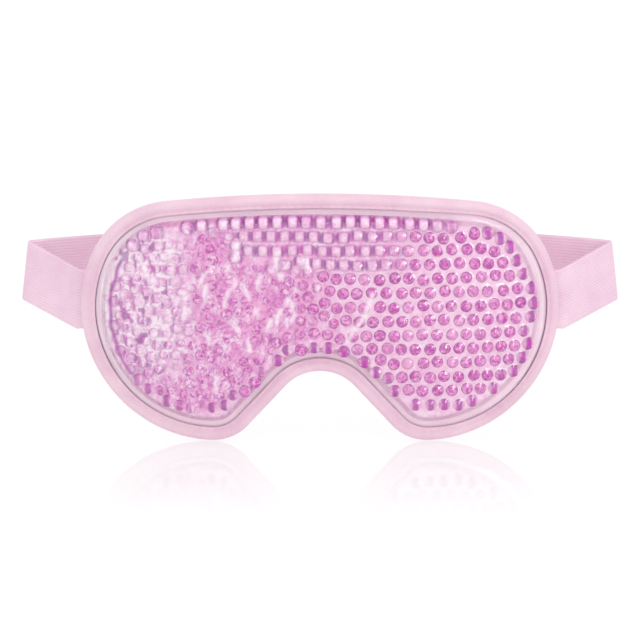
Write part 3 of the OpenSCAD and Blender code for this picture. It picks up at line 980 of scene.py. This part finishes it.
def make_strap(name, mirror, end_x, hemmed):
    """One half of the elastic, as two bands that meet on the side run, close to the crease."""
    run = CREASE - SEAM
    plan = unit([run[0], run[1], 0])
    side_out = np.array([plan[1], -plan[0], 0])
    seam_up = UP * np.linalg.norm(run) / math.hypot(run[0], run[1])
    up_at = lambda t: seam_up + (CREASE_DIR - seam_up) * t
    along = lambda t: SEAM + run * t

    near_run = [(bend(x, SEAM_Z, SEWN_H), UP, bend_out(x), 0)
                for x in np.linspace(SEAM_X - SEWN_L, SEAM_X - 1.4, 7)]
    # A ring close to the end keeps the shading of the end cap off the band's faces.
    for t in [*np.linspace(0.02, MEET - LAST_RING, 28), MEET]:
        turned = float(smooth(-0.05, 0.16, t))
        near_run.append((along(t), up_at(t), unit(mix(bend_out(SEAM_X), side_out, turned)), 0))

    stop = 1 - CREASE_PULL / np.linalg.norm(run)
    far_run = [(along(t), up_at(t), side_out, 0, SLIM) for t in (MEET - 0.04, MEET, stop)]
    enter, leave = along(stop), CREASE + REAR_DIR * CREASE_PULL
    apex = CREASE + 0.2 * unit(CREASE - (enter + leave) / 2)
    for t in np.linspace(0, 1, 9)[1:-1]:
        centre = (1 - t) ** 2 * enter + 2 * t * (1 - t) * apex + t * t * leave
        far_run.append((centre, CREASE_DIR, unit(mix(side_out, rear_out(CREASE_X), t)), 0))
    start_x = leave[0]
    for x in np.linspace(start_x, end_x, round((start_x - end_x) / 2)):
        straight = float(smooth(0, 9, start_x - x))
        hem = HEM_T * float(1 - smooth(HEM_X - 0.6, HEM_X + 0.6, x)) if hemmed else 0
        far_run.append((rear_point(x), mix(CREASE_DIR, UP, straight), rear_out(x), hem))

    near = band(f"{name}_strap_near", near_run, mirror)
    far = band(f"{name}_strap_far", far_run, mirror)
    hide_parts(f"{name}_strap_end", f"{name}_strap_side")
    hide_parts(f"{name}_strap_rear")
    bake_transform(near)
    across = unit(leave - CREASE) - unit(enter - CREASE)
    across = CREASE_BEND * unit(across - CREASE_DIR * (across @ CREASE_DIR))
    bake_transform(far)


def rear_tape(name, material, stops, inner, thick, texture):
    """A tape on the outside of the strap's back run; texture gives how its two faces stand out."""
    count = 33
    across = (np.linspace(-0.5, 0.5, count) * TAPE_H)[:, None]
    rings = []
    for i, x in enumerate(stops):
        inner_rough, outer_rough = texture(i, np.arange(count))
        out, line = rear_out(x), rear_point(x) + UP * across
        low = line + out * (inner - inner_rough)[:, None]
        high = line + out * (inner + thick + outer_rough)[:, None]
        rings.append(np.concatenate([low, high[::-1]]))
    verts, faces = sweep(rings, flip=True)
    tape = make(name, verts, faces, material)
    return tape


def make_hook_tab():
    """Hook tab: its root is sewn on the right strap end, and it runs along the strap's back run."""
    hooks = lambda i, k: (-0.25 + 0.2 * ((i + k) % 2), 0.04 * np.sin(k * 1.5 + i))
    stops = np.linspace(HEM_X - 1, TAB_TIP_X, TAPE_STOPS)
    tab = rear_tape("hook_tab_tape", HOOK, stops, TAB_INSET, TAB_T, hooks)
    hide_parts("hook_tab", "hook_tab_root")
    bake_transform(tab)


def make_loop_tape():
    """Loop tape on the outside of the left strap's back run."""
    pile = lambda i, k: (0.0 * k, 0.16 * value_noise(k * 0.9, np.full(len(k), i * 0.9), 41) - 0.12)
    stops = np.linspace(LOOP_ROOT_X, LOOP_TIP_X, TAPE_STOPS)
    tape = rear_tape("loop_tape_pile", LOOP, stops, STRAP_T / 2 + TAPE_GAP, LOOP_T, pile)
    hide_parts("loop_tape")
    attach(tape, "left_rear")


def make_box_stitch():
    """A stitched box with a cross through the root of the hook tab."""
    x = (HEM_X - 1 + RIGHT_END_X) / 2
    out = rear_out(x)
    along = np.array([out[1], -out[0], 0])
    half_l, half_h = (HEM_X - 1 - RIGHT_END_X) / 2 - 1.5, TAPE_H / 2 - 2
    corners = np.array([(-half_l, -half_h), (half_l, -half_h), (half_l, half_h), (-half_l, half_h)])
    face = TAB_INSET + TAB_T + 0.03
    stitches = []
    for a, b in ((0, 1), (1, 2), (2, 3), (3, 0), (0, 2), (1, 3)):
        step = corners[b] - corners[a]
        count = max(2, round(np.linalg.norm(step) / BOX_PITCH))
        for i in range(count):
            places = [corners[a] + step * (i + f) / count for f in (0.1, 0.5, 0.9)]
            stitches.append([rear_point(x) + along * p[0] + UP * p[1] + out * (face + lift)
                             for p, lift in zip(places, (0.0, 0.22, 0.0))])
    make_stitches("hook_tab_box_stitch", "right_rear", "hook_tab_stitches", stitches)


def make_loop_stitches():
    """Two lines that hold the loop tape, on the strap's face towards the head."""
    stitches = []
    for z in (1.5 - TAPE_H / 2, TAPE_H / 2 - 1.5):
        for s in np.arange(LOOP_TIP_X + 3, LOOP_ROOT_X - 5, STITCH_PITCH):
            stitches.append([
                rear_point(s + f) - rear_out(s + f) * (STRAP_T / 2 + THREAD_GAP + lift) + UP * z
                for f, lift in ((0.3, 0.0), (1.5, 0.18), (2.7, 0.0))
            ])
    make_stitches("loop_tape_stitch_rows", "left_rear", "loop_tape_stitches", stitches)


def make_seam_stitches(name, side):
    """Two rows of stitches that hold one strap end, seen behind the strap."""
    h = SEWN_H - STRAP_T / 2 - THREAD_GAP
    stitches = []
    for inset in (4.6, 1.6):
        for z in np.arange(SEAM_Z - 9.5, SEAM_Z + 8.5, STITCH_PITCH):
            x = side * (HALF_W - inset)
            stitches.append([bend(x, z + f, h - lift) for f, lift in ((0.3, 0), (1.6, 0.2), (2.9, 0))])
    make_stitches(f"{name}_seam_bar_tack", "mask", f"{name}_seam_stitches", stitches, 0.22)


# ---------------------------------------------------------------- floor, light and camera
def floor_material():
    """Lit white, with a faint mirror close to the mask that fades towards the front."""
    mat, tree, bsdf = new_material("studio_floor")
    bsdf.inputs["Base Color"].default_value = (0.3, 0.3, 0.3, 1)
    bsdf.inputs["Emission Color"].default_value = (1, 1, 1, 1)
    bsdf.inputs["Emission Strength"].default_value = 0.72
    bsdf.inputs["Roughness"].default_value = 0.9
    bsdf.inputs["Specular IOR Level"].default_value = 0.0
    where = node(tree, "ShaderNodeTexCoord").outputs["Object"]
    y = node(tree, "ShaderNodeSeparateXYZ", {0: where}).outputs["Y"]
    fade = node(tree, "ShaderNodeMapRange", {
        "Value": y, "From Min": -0.2, "From Max": 0.0, "To Min": 0.0, "To Max": 0.25,
    }, interpolation_type="SMOOTHSTEP").outputs[0]
    mirror = node(tree, "ShaderNodeBsdfGlossy", {"Color": (1, 1, 1, 1), "Roughness": 0.02}).outputs[0]
    both = node(tree, "ShaderNodeMixShader", {0: fade, 1: bsdf.outputs[0], 2: mirror}).outputs[0]
    tree.links.new(both, tree.nodes["Material Output"].inputs["Surface"])
    return mat


def make_floor():
    """Pale floor just under the mask's lobes."""
    reach, z = FLOOR_REACH, cad_low.z - FLOOR_GAP
    mesh = bpy.data.meshes.new("studio_floor")
    corners = [(-reach, -reach, z), (reach, -reach, z), (reach, reach, z), (-reach, reach, z)]
    mesh.from_pydata(corners, [], [(0, 1, 2, 3)])
    mesh.materials.append(floor_material())
    floor = bpy.data.objects.new("studio_floor", mesh)
    bpy.context.scene.collection.objects.link(floor)


def aim(thing, place, target):
    """Links a light or camera, placed and turned to look at a target."""
    thing.location = place
    thing.rotation_euler = (Vector(target) - Vector(place)).to_track_quat("-Z", "Y").to_euler()
    bpy.context.scene.collection.objects.link(thing)


def add_light(name, place, size, power):
    """A soft box that faces the origin."""
    data = bpy.data.lights.new(name, "AREA")
    data.shape = "RECTANGLE"
    data.size, data.size_y = size
    data.energy = power
    aim(bpy.data.objects.new(name, data), place, (0, 0, 0))


def make_lights():
    """A white room, and small soft boxes that glint on the film."""
    world = bpy.data.worlds.new("studio")
    world.use_nodes = True
    world.node_tree.nodes["Background"].inputs["Color"].default_value = (1, 1, 1, 1)
    world.node_tree.nodes["Background"].inputs["Strength"].default_value = 1.05
    bpy.context.scene.world = world
    add_light("right_box", (0.62, -0.95, 0.10), (0.12, 0.30), 1.1)
    add_light("top_box", (0.0, -0.55, 0.85), (0.5, 0.10), 0.7)


def make_camera():
    """A long lens, a little above the mask."""
    data = bpy.data.cameras.new("camera")
    data.sensor_width = 36
    data.lens = LENS
    camera = bpy.data.objects.new("camera", data)
    elevation = math.radians(CAMERA_ELEVATION)
    target = np.array(CAMERA_TARGET)
    place = target + CAMERA_DISTANCE * np.array([0, -math.cos(elevation), math.sin(elevation)])
    aim(camera, place, target)
    bpy.context.scene.camera = camera


make_camera()
make_floor()
make_lights()
bpy.context.scene.view_settings.view_transform = "Standard"

# ---------------------------------------------------------------- build every piece
front_film = make_front_film()
make_gel_liquid()
make_beads()
rear_film = make_rear_film()
make_plush()
make_binding()
make_stitches("binding_needle_stitches", "mask", "binding_needle_thread", edge_stitches(4.56, 0.2))
make_stitches("binding_bobbin_stitches", "mask", "binding_bobbin_thread",
              edge_stitches(-0.55, -0.2, behind_strap=True))
make_strap("right", np.array([1, 1, 1]), RIGHT_END_X, True)
make_strap("left", np.array([-1, 1, 1]), -LEFT_END_X, False)
make_seam_stitches("right", 1)
make_seam_stitches("left", -1)
make_hook_tab()
make_box_stitch()
make_loop_tape()
make_loop_stitches()
